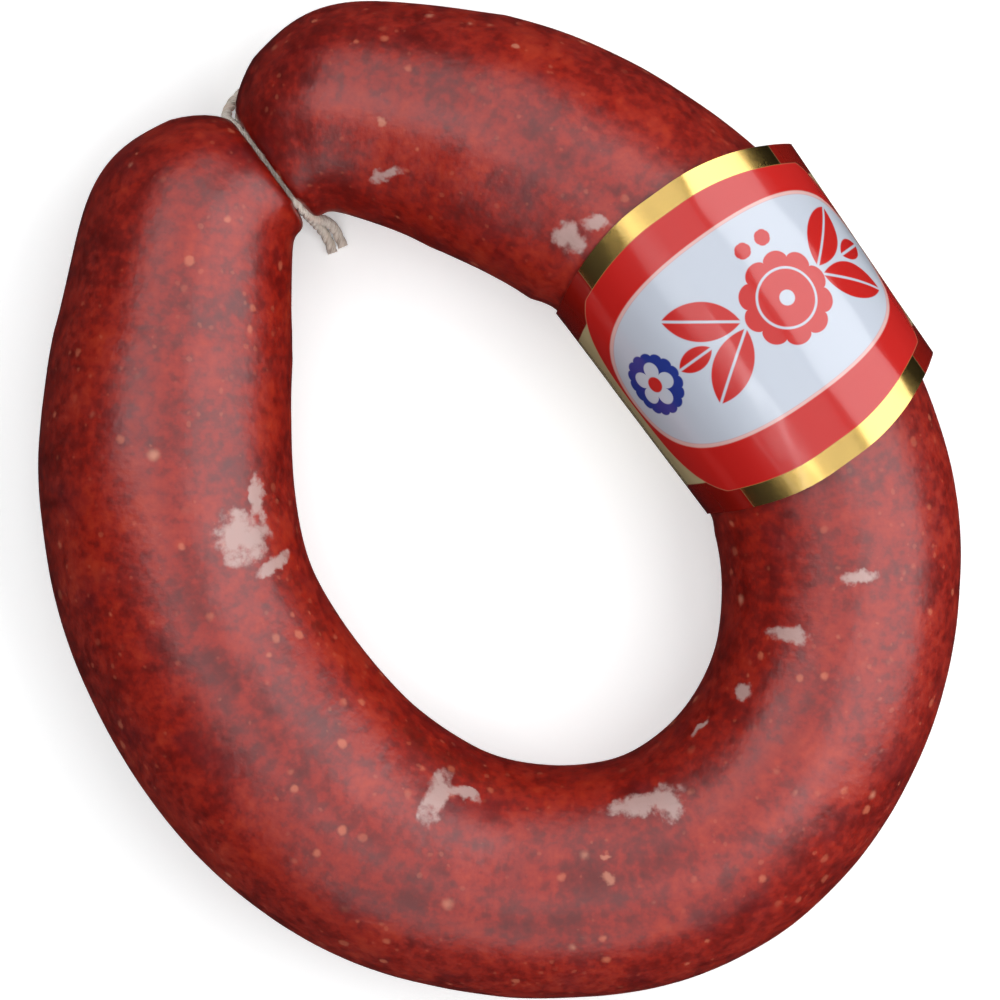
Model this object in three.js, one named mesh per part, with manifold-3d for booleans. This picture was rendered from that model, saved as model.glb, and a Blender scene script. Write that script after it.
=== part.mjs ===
// A ring of cured sausage, lying flat. Its two tied ends meet at one corner of the ring. A doubled cotton twine runs
// between them, with a small hanging loop and two cut tails. A foil label is wrapped once around the opposite side.
// Millimetres, +Z up. The origin is on the surface it lies on, under the middle of the whole part's box.
import * as THREE from "three";
import { mergeVertices } from "three/addons/utils/BufferGeometryUtils.js";
import Module from "manifold-3d";

const wasm = await Module();
wasm.setup();

// ---- Sizes ----
const ringWidth = 113; // along X, between the middles of the sausage's two sides
const ringDepth = 128.2; // along Y, likewise
const sausageDiameter = 40; // nominal casing calibre
const heightRatio = 0.98; // the section sags a little under its own weight
const restDepth = 0.6; // how far the underside is pressed flat
const endGap = 0.8; // between the two round ends at their nearest
const neckRadius = 2; // the gathered casing under the twine
const neckFlare = 0.6; // how much wider the cut casing is past its tie
const dimpleRadius = 6; // the hollow that the tight tie pulls into each end
const dimpleDepth = 5.5;
const twineDiameter = 1.8;
const tieTurns = 1.6; // turns of twine round each neck, as the height of its coil
const labelWidth = 42; // foil strip, along the sausage
const labelBulge = 5.6; // how far the front panel's edges bow out past the strip, each side
const labelEase = 0.4; // how far the bend pushes the label outwards and wider
const shoulderLength = 8; // over which the sausage swells again beyond the label
const shoulderRise = 0.35; // share of its thickness
const labelThickness = 0.2;
const labelOverlap = 9; // glued seam
const labelPlace = 0.772; // share of the way along the middle line
const labelSeam = 0.36; // share of the way round the label from its top, where the seam lies
const clearance = 0.3; // between pieces that touch

// ---- Resolution ----
const sectionSides = 32;
const bodyStep = 6.5;
const labelSteps = 84;
const twineSides = 8;

const up = new THREE.Vector3(0, 0, 1);

// The sausage's middle line, anticlockwise from the left end's centre to the right end's, each point in halves of
// ringWidth and ringDepth.
const ringShape = [
  [-0.93, 0.69], [-0.953, 0.5], [-0.98, 0.26], [-0.982, 0.02], [-0.915, -0.28], [-0.745, -0.55], [-0.505, -0.78],
  [-0.2, -0.935], [0.145, -0.99], [0.49, -0.94], [0.77, -0.76], [0.945, -0.495], [0.995, -0.15], [0.925, 0.12],
  [0.737, 0.415], [0.478, 0.672], [0.186, 0.851], [-0.14, 0.965], [-0.425, 1.02],
];
const ring = new THREE.CatmullRomCurve3(
  ringShape.map(([x, y]) => new THREE.Vector3((x * ringWidth) / 2, (y * ringDepth) / 2, 0)),
);
ring.arcLengthDivisions = 1200;
const ringLength = ring.getLength();

// The two ends are round, as large as fits between their centres.
const endRadius = (ring.getPoint(0).distanceTo(ring.getPoint(1)) - endGap) / 2;
const endFullness = (2 * endRadius) / sausageDiameter;

// Thickness along the ring, as shares of the nominal diameter: it is fullest on the left and across the top.
const fullness = new THREE.CubicInterpolant(
  [0, 0.036, 0.08, 0.12, 0.21, 0.27, 0.33, 0.39, 0.45, 0.6, 0.67, 0.73, 0.79, 0.86, 0.92, 0.95, 0.98, 1],
  [
    endFullness, 0.97, 1.025, 1.055, 1.06, 1.08, 1.045, 0.985, 0.97, 0.97, 1.01, 1.055, 1.08, 1.065, 1.04, 1, 0.94,
    endFullness,
  ],
  1,
);
const radiusAt = (along) =>
  (fullness.evaluate(THREE.MathUtils.clamp(along / ringLength, 0, 1))[0] * sausageDiameter) / 2;

// The section's middle is as high as its own underside allows.
const heightAt = (along) => radiusAt(along) * heightRatio - restDepth;

// Position and directions at a distance along the middle line, which runs on straight past its two ends: out points
// away from the ring's middle.
function placeAt(along) {
  const share = THREE.MathUtils.clamp(along / ringLength, 0, 1);
  const ahead = ring.getTangentAt(share);
  const point = ring.getPointAt(share).addScaledVector(ahead, along - share * ringLength).setZ(heightAt(along));
  return { point, ahead, out: new THREE.Vector3().crossVectors(ahead, up) };
}

// Moves each vertex of a straight shape, whose length runs along Y, onto the ring.
function bendOntoRing(geometry) {
  const position = geometry.getAttribute("position");
  for (let i = 0; i < position.count; i++) {
    const { point, out } = placeAt(position.getY(i));
    point.addScaledVector(out, position.getX(i)).addScaledVector(up, position.getZ(i) * heightRatio);
    position.setXYZ(i, point.x, point.y, point.z);
  }
  return geometry;
}

function solidOf(geometry) {
  const bare = geometry.index ? geometry.toNonIndexed() : geometry.clone();
  bare.deleteAttribute("normal");
  bare.deleteAttribute("uv");
  const merged = mergeVertices(bare, 1e-4);
  const corners = merged.index.array;
  const kept = [];
  for (let i = 0; i < corners.length; i += 3) {
    const [a, b, c] = corners.subarray(i, i + 3);
    if (a !== b && b !== c && c !== a) kept.push(a, b, c);
  }
  const mesh = { numProp: 3, vertProperties: merged.attributes.position.array, triVerts: new Uint32Array(kept) };
  return new wasm.Manifold(new wasm.Mesh(mesh));
}

function geometryOf(solid) {
  const { vertProperties, triVerts, numProp } = solid.getMesh();
  const geometry = new THREE.BufferGeometry();
  const interleaved = new THREE.InterleavedBuffer(vertProperties, numProp);
  geometry.setAttribute("position", new THREE.InterleavedBufferAttribute(interleaved, 3, 0));
  geometry.setIndex(new THREE.BufferAttribute(triVerts, 1));
  const flat = geometry.toNonIndexed();
  flat.computeVertexNormals();
  return flat;
}

// ---- The joint between the ends ----
// Over runs up the crevice between the ends, away from the ring's middle, and across from the left end to the right.
const [leftEnd, rightEnd] = [placeAt(0).point, placeAt(ringLength).point];
const joint = leftEnd.clone().lerp(rightEnd, 0.5);
const across = rightEnd.clone().sub(leftEnd).normalize();
const over = new THREE.Vector3().crossVectors(up, across);

// Turns a profile of radius and distance from the joint about the line between the ends, on one side of it.
function turnedAtJoint(profile, side, segments) {
  const axis = across.clone().multiplyScalar(side);
  const turn = new THREE.Matrix4().makeBasis(new THREE.Vector3().crossVectors(axis, up), axis, up);
  const points = profile.map(([r, y]) => new THREE.Vector2(r, y));
  return solidOf(new THREE.LatheGeometry(points, segments).applyMatrix4(turn).translate(...joint));
}

// ---- Sausage ----
const capSteps = 9;

function straightSausage() {
  const cap = Array.from({ length: capSteps }, (_, i) => {
    const angle = (i / capSteps) * (Math.PI / 2);
    return new THREE.Vector2(endRadius * Math.sin(angle), -endRadius * Math.cos(angle));
  });
  const count = Math.round(ringLength / bodyStep);
  const body = Array.from({ length: count + 1 }, (_, i) => {
    const along = (i / count) * ringLength;
    return new THREE.Vector2(radiusAt(along), along);
  });
  const farCap = cap.map((p) => new THREE.Vector2(p.x, ringLength - p.y)).reverse();
  return new THREE.LatheGeometry([...cap, ...body, ...farCap], sectionSides);
}

// Distance from the joint to a round end's surface, at a distance from the line between the ends.
const endSurface = (r) => endGap / 2 + endRadius - Math.sqrt(endRadius ** 2 - r ** 2);

function dimple(side) {
  const floor = endGap / 2 + dimpleDepth;
  const rim = endSurface(dimpleRadius);
  const hollow = [
    [0, -endGap], [dimpleRadius + endGap, -endGap], [dimpleRadius + endGap / 2, rim], [dimpleRadius - 0.7, rim + 1],
    [dimpleRadius - 1.2, floor - 1.4], [dimpleRadius - 2, floor - 0.3], [0, floor],
  ];
  return turnedAtJoint(hollow, side, sectionSides);
}

function neck(side) {
  const tip = endGap / 2;
  const post = [
    [0, tip], [neckRadius + neckFlare, tip], [neckRadius, tip + neckFlare], [neckRadius, tip + dimpleDepth * 1.5],
    [0, tip + dimpleDepth * 1.5],
  ];
  return turnedAtJoint(post, side, sectionSides / 2);
}

function sausageSolid() {
  let solid = solidOf(bendOntoRing(straightSausage()));
  for (const side of [-1, 1]) solid = solid.subtract(dimple(side)).add(neck(side));
  const side = 2 * (ringWidth + ringDepth);
  const ground = solidOf(new THREE.BoxGeometry(side, side, side).translate(0, 0, -side / 2));
  return solid.subtract(ground);
}

// ---- Label ----
const labelAlong = labelPlace * ringLength;
const [labelStart, labelMiddle, labelEnd] = [-0.5, 0, 0.5].map((share) => placeAt(labelAlong + share * labelWidth));
const labelAhead = new THREE.Vector3().subVectors(labelEnd.point, labelStart.point).setZ(0).normalize();
const labelOut = new THREE.Vector3().crossVectors(labelAhead, up);
// The sausage bends inside the straight label, which is wider than it by the rise of that bend.
const bendRise = new THREE.Vector3().subVectors(labelMiddle.point, labelStart.point).dot(labelOut);
const sausageAtLabel = Math.max(...[-0.5, 0, 0.5].map((share) => radiusAt(labelAlong + share * labelWidth)));
const labelTop = sausageAtLabel * heightRatio * 2 - restDepth + clearance;
const labelRadius = (labelTop - labelThickness) / 2; // inside, at the ends of its stadium outline
const labelCentre = labelMiddle.point
  .clone()
  .addScaledVector(labelOut, labelEase - bendRise / 2)
  .setZ(labelThickness + labelRadius);
const labelHalfStraight = sausageAtLabel + clearance + bendRise / 2 + labelEase - labelRadius;

// Half the label's width along the sausage, at a height from its middle.
const labelEdge = (z) => labelWidth / 2 + labelBulge * Math.max(0, z / labelRadius) ** 2;

// A stadium outline, out to the right and up, that starts at the top and goes round over the outer side.
function stadium(radius) {
  const outline = new THREE.Path();
  outline.moveTo(0, radius);
  outline.lineTo(labelHalfStraight, radius);
  outline.absarc(labelHalfStraight, 0, radius, Math.PI / 2, -Math.PI / 2, true);
  outline.lineTo(-labelHalfStraight, -radius);
  outline.absarc(-labelHalfStraight, 0, radius, -Math.PI / 2, -Math.PI * 1.5, true);
  outline.lineTo(0, radius);
  return outline;
}

// The flat die-cut strip is a thin box; this wraps it round, with its far end lifted over its near end at the seam.
function labelSolid() {
  const outline = stadium(labelRadius);
  outline.arcLengthDivisions = 400;
  const girth = outline.getLength();
  const cut = girth + labelOverlap;
  const strip = new THREE.BoxGeometry(cut, labelWidth, labelThickness, labelSteps, 6, 1);
  const position = strip.getAttribute("position");
  for (let i = 0; i < position.count; i++) {
    const run = position.getX(i) + cut / 2;
    const lifted = THREE.MathUtils.smoothstep(run, girth - labelOverlap / 2, girth) * (labelThickness + clearance / 3);
    const share = (((labelSeam + run / girth) % 1) + 1) % 1;
    const onOutline = outline.getPointAt(share);
    const ahead = outline.getTangentAt(share);
    const reach = position.getZ(i) + labelThickness / 2 + lifted;
    const [x, z] = [onOutline.x - ahead.y * reach, onOutline.y + ahead.x * reach];
    const y = (position.getY(i) * labelEdge(Math.min(z, labelRadius))) / (labelWidth / 2);
    position.setXYZ(i, x, z, -y);
  }
  const upright = new THREE.Matrix4().makeBasis(labelOut, up, labelAhead.clone().negate());
  return solidOf(strip.applyMatrix4(upright).translate(...labelCentre));
}

// What the sausage loses so that it fits inside the label, easing out into a soft shoulder at each edge.
function labelSeat() {
  const reach = labelWidth + 2 * labelBulge + 2 * shoulderLength;
  const inside = new THREE.ExtrudeGeometry(new THREE.Shape(stadium(labelRadius - clearance).getPoints(16)), {
    depth: reach + 2,
    steps: 24,
    bevelEnabled: false,
  }).translate(0, 0, -reach / 2 - 1);
  const position = inside.getAttribute("position");
  for (let i = 0; i < position.count; i++) {
    const [x, z] = [position.getX(i), position.getY(i)];
    const beyond = Math.max(0, Math.abs(position.getZ(i)) - labelEdge(Math.min(z, labelRadius)) - clearance);
    const swell = 1 + shoulderRise * (beyond / shoulderLength) ** 2;
    position.setXYZ(i, x * swell, z * swell, position.getZ(i));
  }
  const side = 4 * (labelRadius + labelHalfStraight);
  const shell = solidOf(new THREE.BoxGeometry(side, side, reach)).subtract(solidOf(inside));
  const upright = new THREE.Matrix4().makeBasis(labelOut, up, labelAhead.clone().negate());
  return solidOf(geometryOf(shell).applyMatrix4(upright).translate(...labelCentre));
}

// ---- Twine ----
// A coil of twine round each neck, drawn as the ring that it fills.
function neckTie(side) {
  const inner = neckRadius + clearance;
  const outer = inner + twineDiameter;
  const near = endGap / 2 + neckFlare + clearance / 2;
  const far = near + tieTurns * twineDiameter;
  const corner = twineDiameter / 3;
  const section = [
    [inner, near], [outer - corner, near], [outer, near + corner], [outer, far - corner], [outer - corner, far],
    [inner, far], [inner, near],
  ];
  return turnedAtJoint(section, side, 20);
}

// The doubled twine: up the first tail, over the ties, round the hanging loop under the right end and back again.
// Each point is over, across and height from the surface it lies on, in shares of the ends' radius.
const twineRoute = [
  [-0.96, 0, 0], [-0.86, 0.03, 0.05], [-0.76, 0.045, 0.13], [-0.66, 0.04, 0.3], [-0.53, 0.02, 0.69],
  [-0.4, 0.01, 1.01], [-0.2, 0, 1.22], [0, 0, 1.27], [0.2, 0, 1.25], [0.36, 0.01, 1.12], [0.46, 0.02, 0.88],
  [0.53, 0.03, 0.6], [0.59, 0.05, 0.33], [0.65, 0.09, 0.14], [0.69, 0.19, 0.04], [0.69, 0.33, 0], [0.63, 0.47, 0],
  [0.55, 0.6, 0], [0.54, 0.77, 0], [0.68, 0.9, 0], [0.84, 0.83, 0], [0.87, 0.66, 0], [0.83, 0.5, 0], [0.81, 0.36, 0],
  [0.81, 0.22, 0.03], [0.79, 0.1, 0.09], [0.74, 0, 0.22], [0.68, -0.05, 0.45], [0.62, -0.05, 0.8],
  [0.47, -0.02, 1.2], [0.22, 0, 1.37], [0, 0, 1.39], [-0.23, 0, 1.35], [-0.45, 0.01, 1.18], [-0.61, 0.05, 0.84],
  [-0.68, 0.12, 0.45], [-0.76, 0.15, 0.21], [-0.86, 0.14, 0.08], [-0.97, 0.115, 0],
];

function twineSolid() {
  const lowest = twineDiameter / 2 + 0.05;
  const points = twineRoute.map(([o, a, z]) =>
    joint
      .clone()
      .setZ(Math.max(z * endRadius, lowest))
      .addScaledVector(over, o * endRadius)
      .addScaledVector(across, a * endRadius),
  );
  const path = new THREE.CatmullRomCurve3(points);
  const section = new THREE.Shape().absarc(0, 0, twineDiameter / 2, 0, 2 * Math.PI);
  const run = new THREE.ExtrudeGeometry(new THREE.Shape(section.getPoints(twineSides / 2).slice(0, twineSides)), {
    steps: 72,
    extrudePath: path,
    bevelEnabled: false,
  });
  return solidOf(run);
}

// ---- The part ----
function piece(name, solid, color, roughness, metalness = 0) {
  const mesh = new THREE.Mesh(geometryOf(solid), new THREE.MeshStandardMaterial({ color, roughness, metalness }));
  mesh.name = name;
  return mesh;
}

const part = new THREE.Group();
part.add(
  piece("sausage", sausageSolid().subtract(labelSeat()), 0x7e1d12, 0.45),
  piece("foil_label", labelSolid(), 0xd4281f, 0.25),
  piece("left_neck_tie", neckTie(-1), 0xd2c3ae, 0.9),
  piece("right_neck_tie", neckTie(1), 0xd2c3ae, 0.9),
  piece("hanging_twine", twineSolid(), 0xd2c3ae, 0.9),
);
const box = new THREE.Box3().setFromObject(part);
const middle = box.getCenter(new THREE.Vector3());
for (const mesh of part.children) mesh.position.set(-middle.x, -middle.y, -box.min.z);

export default part;
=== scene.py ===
# A ring of cured sausage, lying flat, with a foil label round one side and doubled twine between its tied ends.
import math

import bmesh
import bpy
from mathutils import Matrix, Vector, noise


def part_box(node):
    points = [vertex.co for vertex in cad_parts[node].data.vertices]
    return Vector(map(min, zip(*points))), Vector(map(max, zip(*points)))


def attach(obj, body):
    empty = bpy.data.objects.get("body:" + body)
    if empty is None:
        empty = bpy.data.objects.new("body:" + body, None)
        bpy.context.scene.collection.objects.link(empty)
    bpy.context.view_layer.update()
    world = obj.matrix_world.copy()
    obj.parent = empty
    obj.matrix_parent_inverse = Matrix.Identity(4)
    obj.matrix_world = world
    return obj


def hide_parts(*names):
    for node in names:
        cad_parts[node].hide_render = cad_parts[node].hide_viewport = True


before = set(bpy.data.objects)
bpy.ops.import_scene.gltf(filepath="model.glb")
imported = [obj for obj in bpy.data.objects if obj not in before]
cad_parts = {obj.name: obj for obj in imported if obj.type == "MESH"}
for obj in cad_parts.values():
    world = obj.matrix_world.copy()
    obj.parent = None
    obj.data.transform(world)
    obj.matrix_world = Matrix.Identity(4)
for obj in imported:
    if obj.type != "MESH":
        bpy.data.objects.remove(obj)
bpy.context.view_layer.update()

mm = 0.001
up = Vector((0, 0, 1))


# Camera and light

view = {
    "height": 1.4,
    "back": 0.0004,
    "sensor": 36,
    "aim": 0.0205,  # height of the sausage's sides
    "width": 0.1657,  # what the frame takes in at that height
}

camera = bpy.data.objects.new("camera", bpy.data.cameras.new("camera"))
camera.location = (0, -view["back"], view["height"])
camera.data.sensor_width = view["sensor"]
camera.data.lens = view["sensor"] * (view["height"] - view["aim"]) / view["width"]
bpy.context.collection.objects.link(camera)
bpy.context.scene.camera = camera
bpy.context.scene.view_settings.view_transform = "Standard"

daylight = (0.96, 0.98, 1)
softboxes = {  # size, place, radiance; each is turned to the ring
    "right": {"size": (0.95, 0.95), "place": (0.553, 0.06, 0.507), "radiance": 2.65},
    "left": {"size": (0.42, 0.55), "place": (-0.44, 0.2, 0.86), "radiance": 2.5},
    "near": {"size": (0.95, 0.7), "place": (0.02, -0.575, 0.555), "radiance": 1.05},
    "nearLow": {"size": (0.55, 0.2), "place": (-0.02, -0.69, 0.41), "radiance": 0.7},
    "far": {"size": (0.7, 0.6), "place": (-0.08, 0.6, 0.62), "radiance": 1.65},
    "strip": {"size": (0.015, 0.4), "place": (-0.17, -0.16, 0.75), "radiance": 7.0},
    "above": {"size": (0.5, 0.5), "place": (0, 0, 1.6), "radiance": 0.95},
    "aboveFar": {"size": (0.35, 0.35), "place": (0, 0.4, 1.2), "radiance": 1.5},
    "aboveLeft": {"size": (0.35, 0.35), "place": (-0.38, -0.1, 1.25), "radiance": 1.25},
    "aboveNear": {"size": (0.35, 0.35), "place": (0, -0.4, 1.2), "radiance": 2.3},
}
for name, box in softboxes.items():
    lamp = bpy.data.lights.new(name, "AREA")
    lamp.shape = "RECTANGLE"
    lamp.size, lamp.size_y = box["size"]
    lamp.energy = box["radiance"] * math.pi * lamp.size * lamp.size_y
    lamp.color = daylight
    softbox = bpy.data.objects.new(name, lamp)
    softbox.location = box["place"]
    softbox.rotation_euler = (-Vector(box["place"])).to_track_quat("-Z", "Y").to_euler()
    bpy.context.collection.objects.link(softbox)

print("camera and lights done")


# Nodes

def linear(hexColour):
    channels = [int(hexColour[i:i + 2], 16) / 255 for i in (1, 3, 5)]
    return tuple(c / 12.92 if c < 0.04045 else ((c + 0.055) / 1.055) ** 2.4 for c in channels) + (1,)


def perMetre(millimetres):  # a pattern scale from the size of its features
    return 1000 / millimetres


def addNode(tree, kind, settings, *inputs):  # a plain word is the operation; the inputs fill the open sockets in order
    node = tree.nodes.new("ShaderNode" + kind)
    feeds = []
    for key, value in ({"operation": settings} if isinstance(settings, str) else settings).items():
        if key == "stops":
            ramp = node.color_ramp
            while len(ramp.elements) < len(value):
                ramp.elements.new(0.5)
            for element, (place, colour) in zip(ramp.elements, value):
                element.position = place
                element.color = linear(colour)
        elif hasattr(node, key):
            setattr(node, key, value)
        else:
            feeds.append((node.inputs[key], value))
    feeds += zip([socket for socket in node.inputs if socket.enabled], inputs)
    for socket, value in feeds:
        if isinstance(value, bpy.types.Node):
            value = next(output for output in value.outputs if output.enabled)
        if isinstance(value, bpy.types.NodeSocket):
            tree.links.new(value, socket)
        else:
            socket.default_value = linear(value) if isinstance(value, str) else value
    return node


def newMaterial(name, settings):
    material = bpy.data.materials.new(name)
    material.use_nodes = True
    tree = material.node_tree
    shader = tree.nodes["Principled BSDF"]
    for key, value in settings.items():
        shader.inputs[key].default_value = linear(value) if isinstance(value, str) else value
    return material, tree, shader


mixing = {"data_type": "RGBA"}  # factor, below, above
easing = {"interpolation_type": "SMOOTHSTEP"}  # value, where it is 0, where it is 1

room = {"colour": "#f2f6ff", "low": 0.01, "high": 0.06, "rise": 0.5}  # a dim room, darkest below the horizon
world = bpy.data.worlds.new("studio")
world.use_nodes = True
bpy.context.scene.world = world
roomTree = world.node_tree
height = addNode(roomTree, "SeparateXYZ", {}, addNode(roomTree, "TexCoord", {}).outputs["Generated"]).outputs["Z"]
dim = addNode(roomTree, "MapRange", {}, height, 0.0, room["rise"], room["low"], room["high"])
background = roomTree.nodes["Background"]
background.inputs["Color"].default_value = linear(room["colour"])
roomTree.links.new(dim.outputs[0], background.inputs["Strength"])
print("room done")


# The ring's middle line and thickness, as the CAD model has them

ring = {
    "halfWidth": 56.5 * mm,
    "halfDepth": 64.1 * mm,
    "diameter": 40 * mm,
    "heightRatio": 0.98,
    "restDepth": 0.6 * mm,
    "endGap": 0.8 * mm,
    "endWidth": 18.1 * mm,  # radius where an end's round begins
    "shape": [
        (-0.93, 0.69), (-0.953, 0.5), (-0.98, 0.26), (-0.982, 0.02), (-0.915, -0.28), (-0.745, -0.55), (-0.505, -0.78),
        (-0.2, -0.935), (0.145, -0.99), (0.49, -0.94), (0.77, -0.76), (0.945, -0.495), (0.995, -0.15), (0.925, 0.12),
        (0.737, 0.415), (0.478, 0.672), (0.186, 0.851), (-0.14, 0.965), (-0.425, 1.02),
    ],
    "fullness": [
        (0, 0.868), (0.036, 0.97), (0.08, 1.025), (0.12, 1.055), (0.21, 1.06), (0.27, 1.08), (0.33, 1.045),
        (0.39, 0.985), (0.45, 0.97), (0.6, 0.97), (0.67, 1.01), (0.73, 1.055), (0.79, 1.08), (0.86, 1.065),
        (0.92, 1.04), (0.95, 1), (0.98, 0.94), (1, 0.868),
    ],
    "step": 1.1 * mm,
    "easing": (14, 8, 16),  # passes over the middle line, then over the radii before and after the ends are set
    "swell": (12, 0.13 * mm, 60),  # rings beside an end that widen, by how much each, and how fast that dies away
}


def throughPoints(points, perSpan=24):  # a centripetal curve through the points, as an even polyline
    ends = [2 * points[0] - points[1], *points, 2 * points[-1] - points[-2]]
    line = []
    for p0, p1, p2, p3 in zip(ends, ends[1:], ends[2:], ends[3:]):
        gaps = [max((b - a).length, 1e-6) ** 0.5 for a, b in ((p0, p1), (p1, p2), (p2, p3))]
        leave = ((p1 - p0) / gaps[0] - (p2 - p0) / (gaps[0] + gaps[1]) + (p2 - p1) / gaps[1]) * gaps[1]
        arrive = ((p2 - p1) / gaps[1] - (p3 - p1) / (gaps[1] + gaps[2]) + (p3 - p2) / gaps[2]) * gaps[1]
        for i in range(perSpan):
            t = i / perSpan
            line.append(
                p1 * (2 * t**3 - 3 * t**2 + 1) + leave * (t**3 - 2 * t**2 + t)
                + p2 * (3 * t**2 - 2 * t**3) + arrive * (t**3 - t**2)
            )
    return [*line, points[-1].copy()]


def evenly(line, step):  # the same line with its points a step apart
    reach = [0.0]
    for a, b in zip(line, line[1:]):
        reach.append(reach[-1] + (b - a).length)
    count = max(2, round(reach[-1] / step))
    even, at = [], 0
    for i in range(count + 1):
        target = reach[-1] * i / count
        while at < len(line) - 2 and reach[at + 1] < target:
            at += 1
        share = (target - reach[at]) / max(reach[at + 1] - reach[at], 1e-9)
        even.append(line[at].lerp(line[at + 1], min(share, 1)))
    return even, reach[-1]


def eased(values, passes):  # rounds off a list's small kinks and keeps its ends
    values = list(values)
    for _ in range(passes):
        values = [values[0], *((a + 2 * b + c) / 4 for a, b, c in zip(values, values[1:], values[2:])), values[-1]]
    return values


rough = throughPoints([Vector((x * ring["halfWidth"], y * ring["halfDepth"], 0)) for x, y in ring["shape"]])
middleLine, ringLength = evenly(rough, ring["step"])
middleLine = eased(middleLine, ring["easing"][0])
thickness = throughPoints([Vector((x, y, 0)) for x, y in ring["fullness"]])
lastRing = len(middleLine) - 1
endRadius = ((middleLine[0] - middleLine[-1]).length - ring["endGap"]) / 2


def fullnessAt(share):
    for a, b in zip(thickness, thickness[1:]):
        if b.x >= share:
            return a.y + (b.y - a.y) * (share - a.x) / max(b.x - a.x, 1e-9)
    return thickness[-1].y


def swollen(radius, index):  # the body goes on widening from an end's round
    reach, each, fading = ring["swell"]
    away = min(index, lastRing - index)
    return max(radius, ring["endWidth"] + away * each * (1 - away / fading)) if away < reach else radius


radii = eased([fullnessAt(i / lastRing) * ring["diameter"] / 2 for i in range(lastRing + 1)], ring["easing"][1])
radii = [swollen(radius, index) for index, radius in enumerate(radii)]
radii = eased([ring["endWidth"], *radii[1:-1], ring["endWidth"]], ring["easing"][2])


def aheadAt(index):
    index = min(max(index, 0), lastRing)
    return (middleLine[min(index + 1, lastRing)] - middleLine[max(index - 1, 0)]).normalized()


def heightAt(radius):
    return radius * ring["heightRatio"] - ring["restDepth"]


leftEnd = middleLine[0] + up * heightAt(ring["endWidth"])
rightEnd = middleLine[-1] + up * heightAt(ring["endWidth"])
joint = (leftEnd + rightEnd) / 2
across = (rightEnd - leftEnd).normalized()
over = up.cross(across)


# Sausage

casing = {
    "sides": 144,
    "neckRadius": 2 * mm,
    "neckFlare": 0.6 * mm,
    "dimpleRadius": 6 * mm,
    "dimpleDepth": 5.5 * mm,
    "pleats": 13,
    "pleatDepth": 0.6 * mm,
    "pleatReach": 3 * mm,
    "pleatStart": 3.2 * mm,  # radius from which the pleats fade
    "neckPleat": 0.16,  # share of the neck's radius
    "waist": 0.48 * mm,  # taken off the round end's shoulder, so the outline goes on swelling into the body
    "roundSteps": 26,
    "squareness": 2.6,  # 2 is a round end; more fills its shoulders
    "face": 0.25 * mm,  # from the joint's middle to an end's flat face
    "pressed": (9.5 * mm, 15 * mm),  # the two ends lie flat on each other inside the first radius
    "apart": 0.15 * mm,  # least distance of an end from the joint's middle
    "turnFrom": math.radians(33),  # the end turns from the neck's direction to the sausage's own
    "shoulders": {"along": (-18 * mm, 13 * mm), "radius": 14.5 * mm, "reach": (8 * mm, 48 * mm), "passes": 56},
    "corners": {"reach": 27 * mm, "over": -7 * mm, "passes": 50},  # beside the twine's tails
    "weld": 0.002 * mm,
    "soft": 0.5 * mm,  # height over which the underside settles on the board
    "lumps": ((38, 0.35), (13, 0.16), (5, 0.05)),  # size and height in mm of the unevenness of a hand-filled casing
}


def endProfile():  # radius and distance from the joint, from the neck's cut to the round end's widest
    tip = ring["endGap"] / 2
    floor = tip + casing["dimpleDepth"]
    neck, flare, rim = casing["neckRadius"], casing["neckFlare"], casing["dimpleRadius"]
    surface = casing["face"] + 0.1 * mm
    line = throughPoints([
        Vector(point) for point in (
            (0, tip, 0), (neck * 0.7, tip + 0.1 * mm, 0), (neck + flare, tip + 0.2 * mm, 0),
            (neck + flare * 0.7, tip + 0.8 * mm, 0), (neck, tip + 1.6 * mm, 0), (neck, floor - 1.2 * mm, 0),
            (neck * 1.35, floor - 0.2 * mm, 0), (neck * 1.8, floor - 0.9 * mm, 0), (rim - 0.9 * mm, floor - 3 * mm, 0),
            (rim - 0.3 * mm, surface + 0.9 * mm, 0), (rim + 0.9 * mm, surface, 0),
        )
    ], 6)
    start = math.asin((rim + 2.2 * mm) / endRadius) * 0.96
    power, steps = casing["squareness"], casing["roundSteps"]
    for i in range(steps):
        angle = start + (math.pi / 2 - start) * i / steps
        reach = endRadius * (math.cos(angle) ** power + math.sin(angle) ** power) ** (-1 / power)
        out, back = reach * math.sin(angle) * ring["endWidth"] / endRadius, endRadius - reach * math.cos(angle)
        out -= casing["waist"] * math.sin(2 * angle)
        inner, outer = casing["pressed"]
        share = min(1, max(0, (out - inner) / (outer - inner)))
        line.append(Vector((out, surface + back * share * share * (3 - 2 * share), 0)))
    return line


def labelLimit(point):  # how far the tight label lets the casing reach at a point, and the point's own reach
    local = point - label["centre"]
    if local.length > label["nearby"]:
        return None
    outwards, upwards, along = local.dot(label["out"]), local.dot(up), local.dot(label["ahead"])
    taper, taperReach = label["taper"]
    outwards /= 1 + taper * max(-1, min(1, along / taperReach))
    along = abs(along)
    edge = label["width"] / 2 + label["bulge"] * max(0, min(1, upwards / label["radius"])) ** 2
    beyond = max(0, along - edge)
    if beyond > label["shoulder"]:
        return None
    straight = label["halfStraight"]
    aside = max(abs(outwards) - straight, 0)
    reach = math.hypot(aside, upwards)
    swell, power = label["swell"]
    limit = (label["radius"] - label["grip"]) * (1 + swell * (beyond / label["shoulder"]) ** power)
    return reach, limit, math.copysign(min(abs(outwards), straight), outwards)


def pinched(point):
    found = labelLimit(point)
    if found is None:
        return point
    reach, limit, straight = found
    if reach <= limit:
        return point
    foot = label["centre"] + label["out"] * straight
    along = (point - foot).dot(label["ahead"])
    foot += label["ahead"] * along
    return foot + (point - foot) * (limit / reach)


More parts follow.
